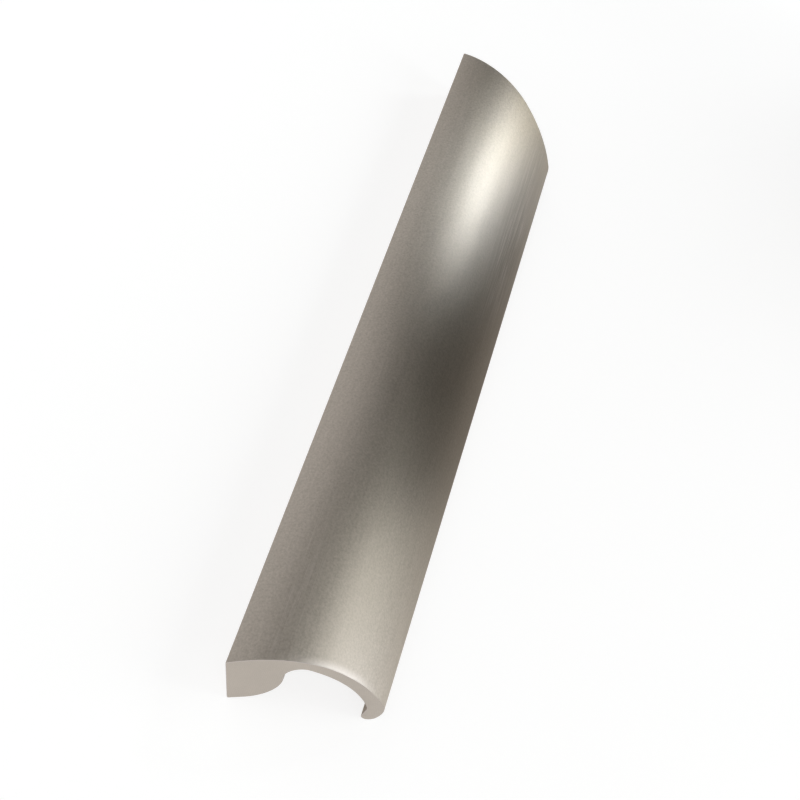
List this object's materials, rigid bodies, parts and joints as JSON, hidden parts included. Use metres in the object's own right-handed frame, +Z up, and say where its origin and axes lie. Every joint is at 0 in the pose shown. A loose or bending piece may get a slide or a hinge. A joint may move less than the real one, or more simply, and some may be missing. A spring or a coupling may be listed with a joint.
{
  "type": "finger pull profile",
  "caption": "Arched extruded finger pull with a solid screw block, a thin curved wall, a rolled lip and mitred ends, fixed to a door or drawer front so fingers hook behind the lip.",
  "frame": {"origin": "centre of the part's outline on the floor it lies on, arch up", "axes": "+X along the length, +Y from the mounting face towards the lip, +Z up from the floor"},
  "size_m": [0.1998, 0.039, 0.0184],
  "materials": {
    "aluminium": "satin"
  },
  "bodies": {
    "root": {"pull_profile": "aluminium"}
  },
  "joints": []
}
